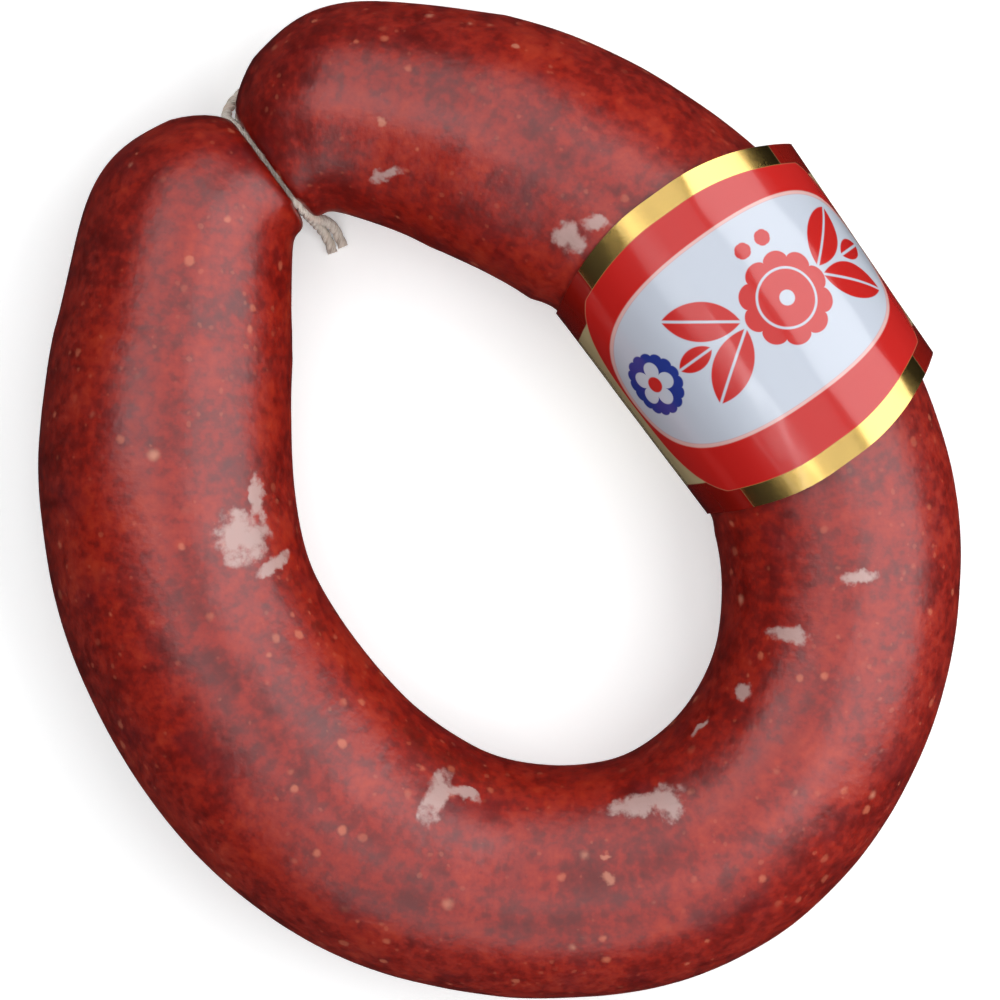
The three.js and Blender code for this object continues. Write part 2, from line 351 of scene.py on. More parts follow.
def unevenness(place):
    return sum(height * mm * noise.noise(place * perMetre(size)) for size, height in casing["lumps"])


def bentPoint(x, y, z):  # from the straight sausage, which runs along Y, to the ring
    radius = math.hypot(x, z)
    length = lastRing * ring["step"]
    if y < 0 or y > length:
        left = y < 0
        beyond = -y if left else y - length
        centre, side = (leftEnd, 1) if left else (rightEnd, -1)
        toJoint = across * side
        body = aheadAt(0 if left else lastRing) * (-1 if left else 1)
        polar = math.atan2(radius, beyond)
        turned = max(0, (polar - casing["turnFrom"]) / (math.pi / 2 - casing["turnFrom"]))
        angle = math.atan2(toJoint.cross(body).dot(up), toJoint.dot(body)) * turned
        facing = Matrix.Rotation(angle, 3, up) @ toJoint
        ahead = -facing if left else facing
        point = centre + facing * beyond
    else:
        index = y / ring["step"]
        low = min(int(index), lastRing - 1)
        share = index - low
        point = middleLine[low].lerp(middleLine[low + 1], share)
        point.z = heightAt(radii[low] * (1 - share) + radii[low + 1] * share)
        ahead = aheadAt(low).lerp(aheadAt(low + 1), share).normalized()
    outwards = ahead.cross(up)
    radial = outwards * x + up * (z * ring["heightRatio"])
    return point + radial, radial.normalized() if radius > 1e-6 else radial


def settled(point):  # pressed flat where it lies
    soft = casing["soft"]
    if point.z < soft:
        point.z = soft * math.exp((point.z - soft) / soft)
    return point


def pleated(x, y, z, beyond):  # pleats run out from each neck, over the round end
    radius, angle = math.hypot(x, z), math.atan2(z, x)
    pucker = casing["pleats"] * angle + 1.1 * math.sin(2 * angle + beyond * 90) + 0.8 * math.sin(3 * angle)
    ridge = (0.5 + 0.5 * math.cos(pucker)) ** 0.6 - 0.62
    if radius < casing["neckRadius"] * 1.4:
        return x * (1 + casing["neckPleat"] * ridge), y, z * (1 + casing["neckPleat"] * ridge)
    fading = math.exp(-max(0, radius - casing["pleatStart"]) / casing["pleatReach"])
    away = Vector((x, beyond, z)).normalized() * casing["pleatDepth"] * fading * ridge
    return x + away.x, y + (-1 if y < 0 else 1) * away.y, z + away.z


def smoothed(work, verts, passes):
    for _ in range(passes):
        bmesh.ops.smooth_vert(work, verts=verts, factor=0.5, use_axis_x=True, use_axis_y=True, use_axis_z=True)


def makeSausage():
    profile = endProfile()
    length = lastRing * ring["step"]
    fromCentre = ring["endGap"] / 2 + endRadius
    left = [Vector((p.x, p.y - fromCentre, 0)) for p in profile]
    right = [Vector((p.x, length - p.y, 0)) for p in reversed(left)]
    straight = [*left, *(Vector((radii[i], i * ring["step"], 0)) for i in range(lastRing + 1)), *right]
    work = bmesh.new()
    outline = [work.verts.new(p) for p in straight]
    edges = [work.edges.new(pair) for pair in zip(outline, outline[1:])]
    bmesh.ops.spin(
        work, geom=[*outline, *edges], cent=(0, 0, 0), axis=(0, 1, 0), angle=math.tau, steps=casing["sides"],
        use_merge=True, use_duplicate=False,
    )
    bmesh.ops.remove_doubles(work, verts=work.verts, dist=casing["weld"])
    bmesh.ops.recalc_face_normals(work, faces=work.faces)
    skin = work.loops.layers.uv.new("casing")  # along and around, in metres
    for face in work.faces:
        middle = face.calc_center_median()
        facing = math.atan2(middle.z, middle.x)
        if facing < -math.pi / 2:  # the seam runs along the underside
            facing += math.tau
        for loop in face.loops:
            co = loop.vert.co
            turn = math.atan2(co.z, co.x) - facing if math.hypot(co.x, co.z) > 1e-6 else 0
            turn = (turn + math.pi) % math.tau - math.pi
            loop[skin].uv = (co.y, (facing + turn) * ring["diameter"] / 2)
    shoulders, corners = casing["shoulders"], casing["corners"]
    turning = set()
    for vert in work.verts:
        x, y, z = vert.co
        radius = math.hypot(x, z)
        beyond = max(-y, y - length)
        if shoulders["along"][0] < beyond < shoulders["along"][1] and radius > shoulders["radius"]:
            turning.add(vert)
        if beyond > 0 and radius > 1e-6:
            x, y, z = pleated(x, y, z, beyond)
        point, radial = bentPoint(x, y, z)
        point += radial * unevenness(point)
        if beyond > 0:  # neither end crosses the middle of the joint
            side = 1 if y > 0 else -1
            apart = (point - joint).dot(across) * side
            point += across * side * max(0, casing["apart"] - apart)
        vert.co = settled(pinched(point))
    least, most = shoulders["reach"]
    # eases the turn from each round end into the body, then the corners on the inside of the ring, then all of it
    smoothed(work, [
        v for v in work.verts if least < (v.co - joint).length < most and v in turning
    ], shoulders["passes"])
    smoothed(work, [
        v for v in work.verts if (v.co - joint).length < corners["reach"] and (v.co - joint).dot(over) < corners["over"]
    ], corners["passes"])
    smoothed(work, work.verts, 1)
    mesh = bpy.data.meshes.new("cured_sausage")
    work.to_mesh(mesh)
    work.free()
    mesh.shade_smooth()
    sausage = bpy.data.objects.new("cured_sausage", mesh)
    bpy.context.collection.objects.link(sausage)
    return sausage


# Label

label = {
    "width": 41.6 * mm,
    "bulge": 6.2 * mm,  # its edges bow out by this much at the top
    "radius": 20.84 * mm,
    "halfStraight": 2.44 * mm,
    "thickness": 0.2 * mm,
    "overlap": 9 * mm,
    "climb": 4.5 * mm,  # run in which the overlap rises onto the strip below
    "airGap": 0.1 * mm,
    "seam": 0.36,
    "place": 0.772,
    "offset": (0.9 * mm, 0.3 * mm),  # ahead and outwards of its box's middle
    "shoulder": 8 * mm,  # the casing swells out over this length beyond each edge
    "swell": (0.3, 1.6),
    "grip": 0.25 * mm,  # the casing lies this far inside the label
    "nearby": 45 * mm,
    "panelTurn": 2.2 * mm,  # the panel's middle is a little outwards of the top
    "taper": (0.026, 25 * mm),  # wider towards the ring's right end, as it was wound
    "grid": (260, 40),
    "crinkle": 0.07 * mm,
    "ripples": ((160, 60, 3.1, 1), (420, 150, 8, 0.5)),  # scales around and along, offset, weight
    "flat": 6 * mm,  # the part this near the board stays smooth
}
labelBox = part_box("foil_label")
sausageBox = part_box("sausage")
placed = label["place"] * lastRing
halfLabel = label["width"] / 2 / ringLength * lastRing
label["ahead"] = (middleLine[round(placed + halfLabel)] - middleLine[round(placed - halfLabel)]).normalized()
label["out"] = label["ahead"].cross(up)

# The middle line is centred in the CAD sausage's own box.
reachX = [p.x + side * r for p, r in zip(middleLine, radii) for side in (-1, 1)]
reachY = [p.y + side * r for p, r in zip(middleLine, radii) for side in (-1, 1)]
shift = Vector((
    (sausageBox[0][0] + sausageBox[1][0]) / 2 - (min(reachX) + max(reachX)) / 2,
    (sausageBox[0][1] + sausageBox[1][1]) / 2 - (min(reachY) + max(reachY)) / 2,
    0,
))
middleLine = [p + shift for p in middleLine]
leftEnd, rightEnd, joint = leftEnd + shift, rightEnd + shift, joint + shift
label["centre"] = Vector([(a + b) / 2 for a, b in zip(labelBox[0], labelBox[1])])
label["centre"].z = label["thickness"] + label["radius"]
label["centre"] += label["ahead"] * label["offset"][0] + label["out"] * label["offset"][1]


def stadiumPoint(run, radius):  # place and outward direction on the label's outline, run clockwise from its top
    straight = label["halfStraight"]
    arc = math.pi * label["radius"]
    girth = 2 * arc + 4 * straight
    run %= girth
    for side, start in ((1, 0), (-1, girth / 2)):
        rest = run - start
        if 0 <= rest < girth / 2:
            if rest < straight:
                return Vector((side * rest, side * radius)), Vector((0, side))
            if rest < straight + arc:
                angle = (rest - straight) / label["radius"]
                facing = Vector((side * math.sin(angle), side * math.cos(angle)))
                return Vector((side * straight, 0)) + facing * radius, facing
            back = straight - (rest - straight - arc)
            return Vector((side * back, -side * radius)), Vector((0, -side))
    return Vector((0, radius)), Vector((0, 1))


def makeLabel():
    work = bmesh.new()
    bmesh.ops.create_grid(work, x_segments=label["grid"][0], y_segments=label["grid"][1], size=0.5)
    printed = work.loops.layers.uv.new("print")  # around and along from the panel's middle, in metres
    trim = work.loops.layers.uv.new("trim")  # distance in from the cut edge, in metres
    girth = 2 * math.pi * label["radius"] + 4 * label["halfStraight"]
    cut = girth + label["overlap"]
    taper, taperReach = label["taper"]
    flat = {}
    for vert in work.verts:
        run = (vert.co.x + 0.5) * cut
        onto = label["seam"] * girth + run
        lift = min(1, max(0, (run - girth + label["climb"]) / label["climb"]))
        lift = lift * lift * (3 - 2 * lift) * (label["thickness"] + label["airGap"])
        spot, facing = stadiumPoint(onto, label["radius"])
        edge = label["width"] / 2 + label["bulge"] * max(0, min(1, spot.y / label["radius"])) ** 2
        along = 2 * vert.co.y * edge
        across = (onto - label["panelTurn"] + girth / 2) % girth - girth / 2
        if run > girth:
            across = girth / 2 + 1 * mm  # the overlap carries only the strip's plain print
        ripple = sum(
            weight * noise.noise(Vector((onto * scaleAround, along * scaleAlong, offset)))
            for scaleAround, scaleAlong, offset, weight in label["ripples"]
        )
        clear = min(1, max(0, (spot.y + label["radius"]) / label["flat"]))
        spot += facing * (lift + label["crinkle"] * ripple * clear)
        spot.x *= 1 + taper * along / taperReach
        flat[vert] = (across, along, edge - abs(along))
        vert.co = label["centre"] + label["out"] * spot.x + up * spot.y + label["ahead"] * along
    for face in work.faces:
        places = [flat[loop.vert] for loop in face.loops]
        first = places[0][0]
        for loop, (across, along, inwards) in zip(face.loops, places):
            if abs(across - first) > girth / 2:
                across += math.copysign(girth, first - across)
            loop[printed].uv = (across, along)
            loop[trim].uv = (inwards, 0)
    work.normal_update()
    work.faces.ensure_lookup_table()
    if work.faces[0].normal.dot(work.faces[0].calc_center_median() - label["centre"]) < 0:
        bmesh.ops.reverse_faces(work, faces=work.faces)
    bmesh.ops.solidify(work, geom=work.faces[:], thickness=-label["thickness"])
    bmesh.ops.recalc_face_normals(work, faces=work.faces)
    mesh = bpy.data.meshes.new("wrapped_label")
    work.to_mesh(mesh)
    work.free()
    mesh.shade_smooth()
    mesh.set_sharp_from_angle(angle=math.radians(50))
    wrapped = bpy.data.objects.new("wrapped_label", mesh)
    bpy.context.collection.objects.link(wrapped)
    return wrapped


# Twine

twine = {
    "diameter": 1.8 * mm,
    "strands": 3,
    "lay": 6.5 * mm,  # length of one full turn of the strands
    "sides": 18,
    "step": 0.45 * mm,
    "fibres": 26,  # round the twine
    "section": (0.74, 0.28, 0.7),  # a groove's share of the radius, a strand's rise over it and the rise's power
    "overBoard": 0.05 * mm,
    "route": [  # over, across and height in shares of the ends' radius
        (-0.96, 0, 0), (-0.86, 0.03, 0.05), (-0.76, 0.045, 0.13), (-0.66, 0.04, 0.3), (-0.53, 0.02, 0.69),
        (-0.4, 0.01, 1.01), (-0.2, 0, 1.22), (0, 0, 1.27), (0.2, 0, 1.25), (0.36, 0.01, 1.12), (0.46, 0.02, 0.88),
        (0.53, 0.03, 0.6), (0.59, 0.05, 0.33), (0.65, 0.09, 0.14), (0.69, 0.19, 0.04), (0.69, 0.33, 0),
        (0.63, 0.47, 0), (0.55, 0.6, 0), (0.54, 0.77, 0), (0.68, 0.9, 0), (0.84, 0.83, 0), (0.87, 0.66, 0),
        (0.83, 0.5, 0), (0.81, 0.36, 0), (0.81, 0.22, 0.03), (0.79, 0.1, 0.09), (0.74, 0, 0.22), (0.68, -0.05, 0.45),
        (0.62, -0.05, 0.8), (0.47, -0.02, 1.2), (0.22, 0, 1.37), (0, 0, 1.39), (-0.23, 0, 1.35), (-0.45, 0.01, 1.18),
        (-0.61, 0.05, 0.84), (-0.68, 0.12, 0.45), (-0.76, 0.15, 0.21), (-0.86, 0.14, 0.08), (-0.97, 0.115, 0),
    ],
}
tie = {
    "turns": 2.4,
    "steps": 90,
    "start": 0.6,
    "gap": 0.15 * mm,
    "spread": 0.93,  # of the twine's diameter, between the first turn and the middle one
    "loosening": 0.32,
}


def makeTwine(name, path):  # a twisted tube along the path, its section a ring of strands that turns as it goes
    radius = twine["diameter"] / 2
    groove, rise, power = twine["section"]
    work = bmesh.new()
    bmesh.ops.create_circle(work, cap_ends=False, segments=twine["sides"], radius=1)
    thread = work.loops.layers.uv.new("thread")
    ringVerts = sorted(work.verts, key=lambda v: math.atan2(v.co.y, v.co.x))
    facing = up if abs((path[1] - path[0]).normalized().dot(up)) < 0.9 else Vector((1, 0, 0))
    run = 0.0
    rows, reached = [], []
    edges = work.edges[:]
    for index, point in enumerate(path):
        tangent = (path[min(index + 1, len(path) - 1)] - path[max(index - 1, 0)]).normalized()
        facing = (facing - tangent * facing.dot(tangent)).normalized()
        side = tangent.cross(facing)
        if index:
            run += (point - path[index - 1]).length
            made = bmesh.ops.extrude_edge_only(work, edges=edges)["geom"]
            fresh = [g for g in made if isinstance(g, bmesh.types.BMVert)]
            edges = [g for g in made if isinstance(g, bmesh.types.BMEdge) and all(v in fresh for v in g.verts)]
            ringVerts = [min(fresh, key=lambda v, old=old: (v.co - old.co).length_squared) for old in ringVerts]
        places = []
        for i in range(twine["sides"]):
            angle = math.tau * i / twine["sides"]
            lobe = abs(math.cos(angle * twine["strands"] / 2))
            turned = angle + math.tau * run / twine["lay"]
            reach = radius * (groove + rise * lobe**power)
            places.append(point + (facing * math.cos(turned) + side * math.sin(turned)) * reach)
        rows.append((ringVerts, run))
        reached.append(places)
    for (verts, _), places in zip(rows, reached):
        for vert, place in zip(verts, places):
            vert.co = place
    order = {vert: (row, i) for row, (verts, _) in enumerate(rows) for i, vert in enumerate(verts)}
    for face in work.faces:
        columns = [order[loop.vert][1] for loop in face.loops]
        for loop in face.loops:
            row, column = order[loop.vert]
            if max(columns) - min(columns) > twine["sides"] / 2 and column < twine["sides"] / 2:
                column += twine["sides"]
            loop[thread].uv = (rows[row][1], column / twine["sides"])
    caps = [edge for edge in work.edges if edge.is_boundary]
    bmesh.ops.holes_fill(work, edges=caps, sides=0)
    bmesh.ops.recalc_face_normals(work, faces=work.faces)
    mesh = bpy.data.meshes.new(name)
    work.to_mesh(mesh)
    work.free()
    mesh.shade_smooth()
    mesh.set_sharp_from_angle(angle=math.radians(60))
    piece = bpy.data.objects.new(name, mesh)
    bpy.context.collection.objects.link(piece)
    return piece


def twinePath():
    lowest = twine["diameter"] / 2 + twine["overBoard"]
    points = [
        Vector((joint.x, joint.y, max(height * endRadius, lowest))) + over * (o * endRadius) + across * (a * endRadius)
        for o, a, height in twine["route"]
    ]
    return evenly(throughPoints(points), twine["step"])


def tiePath(side):  # turns round a neck, the last one crossing back over the first
    radius = casing["neckRadius"] + twine["diameter"] / 2
    near = ring["endGap"] / 2 + casing["neckFlare"] + tie["gap"] + twine["diameter"] / 2
    axis = across * side
    points = []
    for i in range(tie["steps"] + 1):
        share = i / tie["steps"]
        angle = math.tau * tie["turns"] * share + tie["start"]
        pitch = near + tie["spread"] * twine["diameter"] * (0.5 - 0.5 * math.cos(math.tau * share))
        wide = radius * (1 + tie["loosening"] * math.sin(math.pi * share) ** 2)
        points.append(joint + axis * pitch + (over * math.cos(angle) + up * math.sin(angle)) * wide)
    return evenly(points, twine["step"])[0]


sausage = makeSausage()
print("sausage done")
wrappedLabel = makeLabel()
print("label done")
twineLine, twineLength = twinePath()
hangingTwine = makeTwine("doubled_twine", twineLine)
leftTie = makeTwine("left_tie", tiePath(-1))
rightTie = makeTwine("right_tie", tiePath(1))
print("twine done")


# Cured meat in a natural casing: smoked and dried, deep mottled red with small pale fat, a tight semi-gloss skin

meat = {
    "dark": "#600b06", "deep": "#780f05", "red": "#8f1605", "orange": "#a12609",
    "fat": "#c07a60", "smallFat": "#bc6044", "bloom": "#b0918a", "plum": "#5a121a",
    "roughness": (0.27, 0.38),
    "mottling": ((17, 4, 0.6, 0.5), (5.5, 4, 0.64, 0.45), (1.7, 2, 0.6, 0.45)),  # size in mm, detail, roughness, weight
    "stops": (0.34, 0.45, 0.54, 0.68),  # where the four reds stand in the mottling
    "threads": (2.2, 11, 0.22),  # threads of meat drawn round the casing as it was filled: sizes in mm, weight
    "bruises": (9, 0.32),  # size in mm, strength
    "wobble": (1.6, 0.8),  # bends the crumbs' outlines: size and reach in mm
    "drift": (4, 4.2),  # the same for the smears
    # cells of fat seen through the casing: size in mm, greatest reach, tint, strength
    "crumbs": ((1.8, 0.3, "smallFat", 0.3), (3.6, 0.27, "smallFat", 0.75), (8, 0.14, "fat", 0.85)),
    # pale smears of fat under the casing: along, around, half sizes and turn, in mm and degrees
    "smears": (
        (53, 43.5, 6.5, 6.2, 0), (46, 47.5, 6.5, 1.7, 0), (60, 48, 2, 6, 20), (118.5, 42.5, 3.4, 6.8, 0),
        (123, 45, 5, 2, 0), (162, 43.5, 11, 2.6, -8), (167, 42, 4.5, 4.6, 0), (196, 46, 2.8, 2.4, 0),
        (210, 40.5, 2.1, 5, 0),
        (221, 29, 1.4, 4, 0), (299, 41, 4, 3.2, 0), (297, 37, 3.4, 1.8, 30), (334.5, 43.5, 4.4, 1.6, 40),
        (183.5, 50, 4, 1.1, 0), (277, 30, 3, 1.4, 10),
    ),
    "pieces": ((320, 15, 1.1, 0.9, 0), (152, 32.5, 1.8, 1.3, 0), (152, 35.8, 1, 0.9, 0), (337, 34, 1.5, 1.4, 0)),
}


def meatMaterial():
    material, tree, shader = newMaterial("smoked_beef_casing", {
        "Roughness": 0.3, "IOR": 1.46, "Specular IOR Level": 0.74,
    })
    place = addNode(tree, "TexCoord", {}).outputs["Object"]
    skin = addNode(tree, "UVMap", {"uv_map": "casing"})
    mixed, noises = 0.5, []
    for size, detail, roughness, weight in meat["mottling"]:
        noises.append(addNode(
            tree, "TexNoise", {"Scale": perMetre(size), "Detail": detail, "Roughness": roughness, "Vector": place}))
        rest = addNode(tree, "Math", "SUBTRACT", mixed, weight / 2)
        mixed = addNode(tree, "Math", "MULTIPLY_ADD", noises[-1], weight, rest)
    threadLength, threadWidth, threadWeight = meat["threads"]
    threads = addNode(tree, "TexNoise", {"Scale": 1, "Detail": 4, "Roughness": 0.6}, addNode(
        tree, "VectorMath", "MULTIPLY", skin, (perMetre(threadLength), perMetre(threadWidth), 0)))
    rest = addNode(tree, "Math", "SUBTRACT", mixed, threadWeight / 2)
    mixed = addNode(tree, "Math", "MULTIPLY_ADD", threads, threadWeight, rest)
    shades = [meat[name] for name in ("dark", "deep", "red", "orange")]
    colour = addNode(tree, "ValToRGB", {"stops": list(zip(meat["stops"], shades))}, mixed)
    bruiseSize, bruiseStrength = meat["bruises"]
    bruises = addNode(tree, "TexNoise", {"Scale": perMetre(bruiseSize), "Detail": 3, "Roughness": 0.5}, addNode(
        tree, "VectorMath", "ADD", place, (0.3, 0.1, 0.7)))
    bruised = addNode(tree, "MapRange", {**easing, "To Max": bruiseStrength}, bruises, 0.54, 0.72)
    colour = addNode(tree, "Mix", mixing, bruised, colour, meat["plum"])
    wobbleSize, wobbleReach = meat["wobble"]
    wobble = addNode(tree, "TexNoise", {"Scale": perMetre(wobbleSize), "Vector": place}).outputs["Color"]
    wobble = addNode(tree, "VectorMath", "MULTIPLY_ADD", wobble, (wobbleReach * mm,) * 3, place)
    for size, greatest, tint, strength in meat["crumbs"]:
        cells = addNode(tree, "TexVoronoi", {"Scale": perMetre(size), "Vector": wobble})
        chance = addNode(tree, "SeparateColor", {}, cells.outputs["Color"])
        crumb = addNode(tree, "Math", "SUBTRACT", addNode(tree, "Math", "MULTIPLY", chance, greatest), cells)
        seen = addNode(tree, "Math", "MULTIPLY", addNode(tree, "MapRange", easing, crumb, -0.05, 0.12), addNode(
            tree, "MapRange", {**easing, "To Max": strength}, chance.outputs[1], 0.4, 0.9))
        colour = addNode(tree, "Mix", mixing, seen, colour, meat[tint])
    driftSize, driftReach = meat["drift"]
    along = addNode(tree, "VectorMath", "MULTIPLY_ADD", addNode(tree, "TexNoise", {
        "Scale": perMetre(driftSize), "Detail": 3, "Roughness": 0.6, "Vector": skin,
    }).outputs["Color"], (driftReach * mm,) * 3, skin)
    ragged = addNode(tree, "TexNoise", {"Scale": perMetre(2.8), "Detail": 3, "Roughness": 0.6, "Vector": skin})
    drift = driftReach / 2  # the noise moves a smear by this much on average
    for table, tint, strength, raggedness in (("smears", "bloom", 0.9, 1.6), ("pieces", "fat", 0.65, 0.6)):
        shape = 0
        for x, y, halfX, halfY, turn in meat[table]:
            middle = ((x + drift) * mm, (y + drift) * mm, drift * mm)
            local = addNode(
                tree, "Mapping", {"vector_type": "TEXTURE"}, along, middle, (0, 0, math.radians(turn)),
                (halfX * mm, halfY * mm, 0.01))
            spot = addNode(tree, "TexGradient", {"gradient_type": "SPHERICAL"}, local).outputs["Fac"]
            shape = addNode(tree, "Math", "MAXIMUM", spot, shape)
        rest = addNode(tree, "Math", "SUBTRACT", shape, raggedness / 2)
        edge = addNode(tree, "Math", "MULTIPLY_ADD", ragged, raggedness, rest)
        present = addNode(tree, "Math", "MULTIPLY", addNode(tree, "MapRange", easing, edge, 0.02, 0.6), addNode(
            tree, "MapRange", {**easing, "To Max": strength}, shape, 0.0, 0.22))
        colour = addNode(tree, "Mix", mixing, present, colour, meat[tint])
    tree.links.new(colour.outputs[2], shader.inputs["Base Color"])
    # fine pores and faint wrinkles of the dried casing
    pores = addNode(tree, "TexNoise", {"Scale": perMetre(1.1), "Detail": 2, "Vector": place})
    wrinkles = addNode(tree, "TexNoise", {"Scale": perMetre(4), "Detail": 2, "Vector": place})
    drawn = addNode(tree, "Math", "MULTIPLY_ADD", threads, 0.35, wrinkles)
    relief = addNode(tree, "Math", "MULTIPLY_ADD", pores, 0.4, drawn)
    bump = addNode(tree, "Bump", {"Strength": 0.5, "Distance": 0.22 * mm, "Height": relief})
    tree.links.new(bump.outputs[0], shader.inputs["Normal"])
    patchy = addNode(tree, "MapRange", {}, noises[1], 0.3, 0.7, *meat["roughness"])
    gloss = addNode(tree, "Math", "MULTIPLY_ADD", noises[2], 0.06, patchy)
    tree.links.new(gloss.outputs[0], shader.inputs["Roughness"])
    return material


# Metallised paper, gravure printed and varnished: bare gold foil where there is no ink, glossy where there is

ink = {
    "red": "#b41c18", "white": "#b4b9c3", "keyline": "#cfa59f", "blue": "#22327e",
    "gold": "#e6bf6c", "cream": "#dccb98", "darkRed": "#94160c",
    # all the print is in mm
    "panel": (31.3, 24.5, 2.6),  # half sizes and squareness
    "oval": (29.4, 15.6, 2.25),
    "ovalAlong": 0.9,
    "ovalRim": 1.035,  # the keyline's outer edge, as a share of the oval
    "border": 3.8,  # bare gold between the panel and the cut edge
    "front": 20.3,  # half the run of bare gold, beyond which the strip is cream
    "lacquered": 6.0,
    "leaves": (  # middle, half length and width, turn
        ((-8.2, 5.6), (6.6, 3.3), -0.62), ((-8.2, -3.4), (6.6, 3.3), 0.62), ((-12.6, 1.1), (3.4, 1.9), 0.0),
        ((18.8, 5.6), (6.4, 3.3), 0.62), ((18.8, -3.4), (6.4, 3.3), -0.62), ((23.2, 1.1), (3.4, 1.9), 0.0),
    ),
    # flowers: middle, radius, petals, their depth and turn
    "dots": (((4.0, 11.0), 1.4, 6, 0.06), ((8.0, 11.0), 1.4, 6, 0.06)),
    "rosette": ((5.6, 0.6), 8.0, 10, 0.15),
    "rosetteEye": 1.3,
    "rosetteLine": (4.8, 5.2),
    "badge": ((-21.8, 1.6), 5.6, 16, 0.08),
    "badgeFlower": ((-21.8, 1.6), 4.0, 5, 0.5, 0.4),
    "badgeEye": 1.4,
    "vein": 0.22,
    "edge": 0.12,  # softness of a printed edge
}


def labelMaterial():
    material, tree, shader = newMaterial("printed_metallised_paper", {
        "Roughness": 0.22, "IOR": 1.5, "Coat Weight": 0.5, "Coat Roughness": 0.08,
    })
    spot = addNode(tree, "SeparateXYZ", {}, addNode(tree, "UVMap", {"uv_map": "print"}))
    around = addNode(tree, "Math", "MULTIPLY", spot, 1000)
    along = addNode(tree, "Math", "MULTIPLY", spot.outputs[1], 1000)
    inwards = addNode(tree, "Math", "MULTIPLY", addNode(
        tree, "SeparateXYZ", {}, addNode(tree, "UVMap", {"uv_map": "trim"})), 1000)

    def rounded(x, y, halfX, halfY, power):  # 1 on the edge of a squared oval
        total = 0
        for place, half in ((x, halfX), (y, halfY)):
            share = addNode(tree, "Math", "DIVIDE", addNode(tree, "Math", "ABSOLUTE", place), half)
            total = addNode(tree, "Math", "ADD", addNode(tree, "Math", "POWER", share, power), total)
        return addNode(tree, "Math", "POWER", total, 1 / power)

    def inside(value, edge, softness=ink["edge"]):
        return addNode(tree, "MapRange", easing, addNode(tree, "Math", "SUBTRACT", edge, value), -softness, softness)

    def without(mask, other):
        return addNode(tree, "Math", "MULTIPLY", mask, addNode(tree, "Math", "SUBTRACT", 1, other))

    def flower(centre, radius, petals, depth, turn=0.0):  # a rosette, and the distance from its middle
        dx = addNode(tree, "Math", "SUBTRACT", around, centre[0])
        dy = addNode(tree, "Math", "SUBTRACT", along, centre[1])
        reach = addNode(tree, "Math", "SQRT", addNode(
            tree, "Math", "MULTIPLY_ADD", dx, dx, addNode(tree, "Math", "MULTIPLY", dy, dy)))
        angle = addNode(tree, "Math", "ARCTAN2", dy, dx)
        wave = addNode(tree, "Math", "ABSOLUTE", addNode(
            tree, "Math", "COSINE", addNode(tree, "Math", "MULTIPLY_ADD", angle, petals / 2, turn)))
        petal = addNode(tree, "Math", "POWER", wave, 0.6)
        return inside(reach, addNode(tree, "Math", "MULTIPLY_ADD", petal, radius * depth, radius * (1 - depth))), reach

    def leaf(centre, half, turn):  # a pointed leaf, as the overlap of two discs, with a bare vein
        dx = addNode(tree, "Math", "SUBTRACT", around, centre[0])
        dy = addNode(tree, "Math", "SUBTRACT", along, centre[1])
        cosine, sine = math.cos(turn), math.sin(turn)
        a = addNode(tree, "Math", "MULTIPLY_ADD", dx, cosine, addNode(tree, "Math", "MULTIPLY", dy, sine))
        b = addNode(tree, "Math", "MULTIPLY_ADD", dy, cosine, addNode(tree, "Math", "MULTIPLY", dx, -sine))
        length, width = half
        disc = (length**2 + width**2) / (2 * width)
        aside = addNode(tree, "Math", "ABSOLUTE", b)
        away = addNode(tree, "Math", "ADD", aside, disc - width)
        reach = addNode(tree, "Math", "SQRT", addNode(
            tree, "Math", "MULTIPLY_ADD", a, a, addNode(tree, "Math", "MULTIPLY", away, away)))
        return without(inside(reach, disc), inside(aside, ink["vein"]))

    panel = rounded(around, along, *ink["panel"])
    oval = rounded(around, addNode(tree, "Math", "SUBTRACT", along, ink["ovalAlong"]), *ink["oval"])
    onPanel = addNode(tree, "Math", "MULTIPLY", inside(panel, 1, 0.006), inside(ink["border"], inwards, 0.1))
    onOval = inside(oval, 1, 0.008)
    onKeyline = without(inside(oval, ink["ovalRim"], 0.008), onOval)
    # foil strip: dark-red lacquer along both edges of the strip beyond the panel's gold borders
    sides = inside(ink["front"], addNode(tree, "Math", "ABSOLUTE", around), 0.15)
    lacquer = without(addNode(tree, "Math", "MULTIPLY", sides, inside(inwards, ink["lacquered"], 0.1)), onPanel)
    rosette, fromMiddle = flower(*ink["rosette"])
    innerLine, outerLine = ink["rosetteLine"]
    line = without(inside(fromMiddle, outerLine), inside(fromMiddle, innerLine))
    rosette = without(without(rosette, inside(fromMiddle, ink["rosetteEye"])), line)
    badge, fromBadge = flower(*ink["badge"])
    colour = addNode(tree, "Mix", mixing, sides, ink["gold"], ink["cream"])
    for mask, tint in (
        (lacquer, "darkRed"), (onPanel, "red"), (onKeyline, "keyline"), (onOval, "white"), (rosette, "red"),
        *((leaf(*shape), "red") for shape in ink["leaves"]),
        *((flower(*dot)[0], "red") for dot in ink["dots"]),
        (badge, "blue"), (flower(*ink["badgeFlower"])[0], "white"), (inside(fromBadge, ink["badgeEye"]), "red"),
    ):
        colour = addNode(tree, "Mix", mixing, mask, colour, ink[tint])
    tree.links.new(colour.outputs[2], shader.inputs["Base Color"])
    bare = without(addNode(tree, "Math", "MULTIPLY_ADD", sides, -0.6, 1), onPanel)  # the strip is duller
    tree.links.new(bare.outputs[0], shader.inputs["Metallic"])
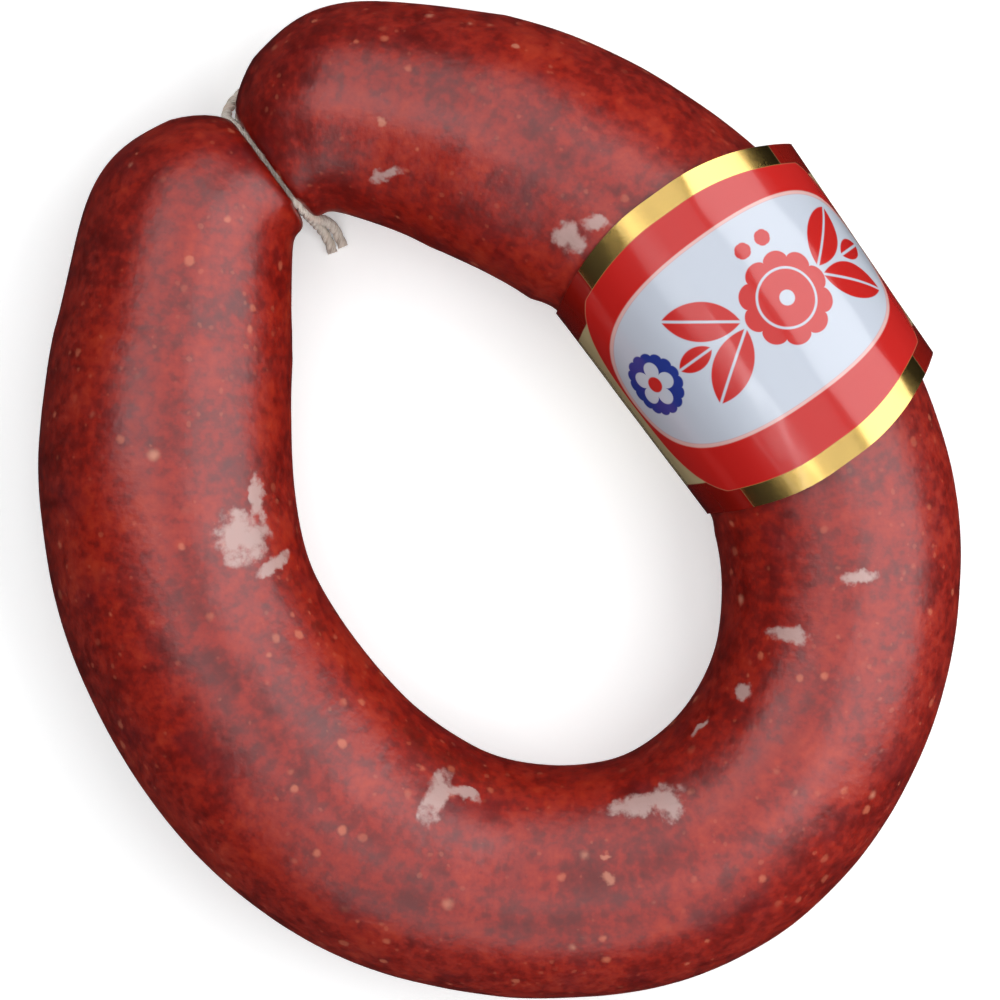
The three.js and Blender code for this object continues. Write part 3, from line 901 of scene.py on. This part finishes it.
    # paper fibre under the foil and the faint ripple of a hand-wrapped strip
    place = addNode(tree, "TexCoord", {}).outputs["Object"]
    fibre = addNode(tree, "TexNoise", {"Scale": perMetre(0.8), "Detail": 3, "Vector": place})
    ripple = addNode(tree, "TexNoise", {"Scale": perMetre(14), "Detail": 2, "Vector": place})
    bump = addNode(tree, "Bump", {
        "Strength": 0.12, "Distance": 0.2 * mm, "Height": addNode(tree, "Math", "MULTIPLY_ADD", fibre, 0.02, ripple)})
    tree.links.new(bump.outputs[0], shader.inputs["Normal"])
    tree.links.new(addNode(tree, "Math", "MULTIPLY_ADD", fibre, 0.08, 0.16).outputs[0], shader.inputs["Roughness"])
    return material


# Butcher's twine: bleached cotton, three strands laid together, soft and matt, stained a little by the meat

cotton = {"shade": "#b3a495", "yarn": "#ddd0c1", "light": "#f3ece2", "stain": "#cf9f86"}


def twineMaterial():
    material, tree, shader = newMaterial(
        "laid_cotton_twine", {"Roughness": 0.92, "Sheen Weight": 0.3, "Specular IOR Level": 0.25})
    place = addNode(tree, "TexCoord", {}).outputs["Object"]
    # fibres run along the strands, which cross the twine's length at a slant
    thread = addNode(tree, "UVMap", {"uv_map": "thread"})
    slant = addNode(tree, "VectorMath", "MULTIPLY", thread, (perMetre(2.4), twine["fibres"], 0))
    fibres = addNode(tree, "TexNoise", {"Scale": 1, "Detail": 3, "Roughness": 0.7, "Vector": slant})
    spread = addNode(tree, "TexNoise", {"Scale": perMetre(6), "Detail": 3, "Vector": place})
    colour = addNode(
        tree, "ValToRGB", {"stops": [(0.3, cotton["shade"]), (0.5, cotton["yarn"]), (0.75, cotton["light"])]}, fibres)
    stained = addNode(tree, "MapRange", {**easing, "To Max": 0.45}, spread, 0.52, 0.74)
    colour = addNode(tree, "Mix", mixing, stained, colour, cotton["stain"])
    tree.links.new(colour.outputs[2], shader.inputs["Base Color"])
    bump = addNode(tree, "Bump", {"Strength": 0.6, "Distance": 0.12 * mm, "Height": fibres})
    tree.links.new(bump.outputs[0], shader.inputs["Normal"])
    return material


sausage.data.materials.append(meatMaterial())
wrappedLabel.data.materials.append(labelMaterial())
laidCotton = twineMaterial()
for piece in (hangingTwine, leftTie, rightTie):
    piece.data.materials.append(laidCotton)
print("materials done")


# Floor: a plain matt white board

bpy.ops.mesh.primitive_plane_add(size=6, location=(0, 0, -0.0001))
floor = bpy.context.object
floor.name = "floor"
board, boardTree, boardShader = newMaterial("matt_white_board", {"Base Color": "#f6f6f4", "Roughness": 0.9})
floor.data.materials.append(board)
floor.visible_glossy = False  # the board is flagged off from the gloss, so the skin's edges stay deep
boardShader.inputs["Emission Color"].default_value = (1, 1, 1, 1)
lifted = addNode(boardTree, "Math", "MULTIPLY", addNode(boardTree, "LightPath", {}).outputs["Is Camera Ray"], 0.3)
boardTree.links.new(lifted.outputs[0], boardShader.inputs["Emission Strength"])

for piece, node, slotName in (
    (sausage, "sausage", "sausage"), (wrappedLabel, "foil_label", "label"), (hangingTwine, "hanging_twine", "twine"),
    (leftTie, "left_neck_tie", "twine"), (rightTie, "right_neck_tie", "twine"),
):
    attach(piece, "root")
    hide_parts(node)
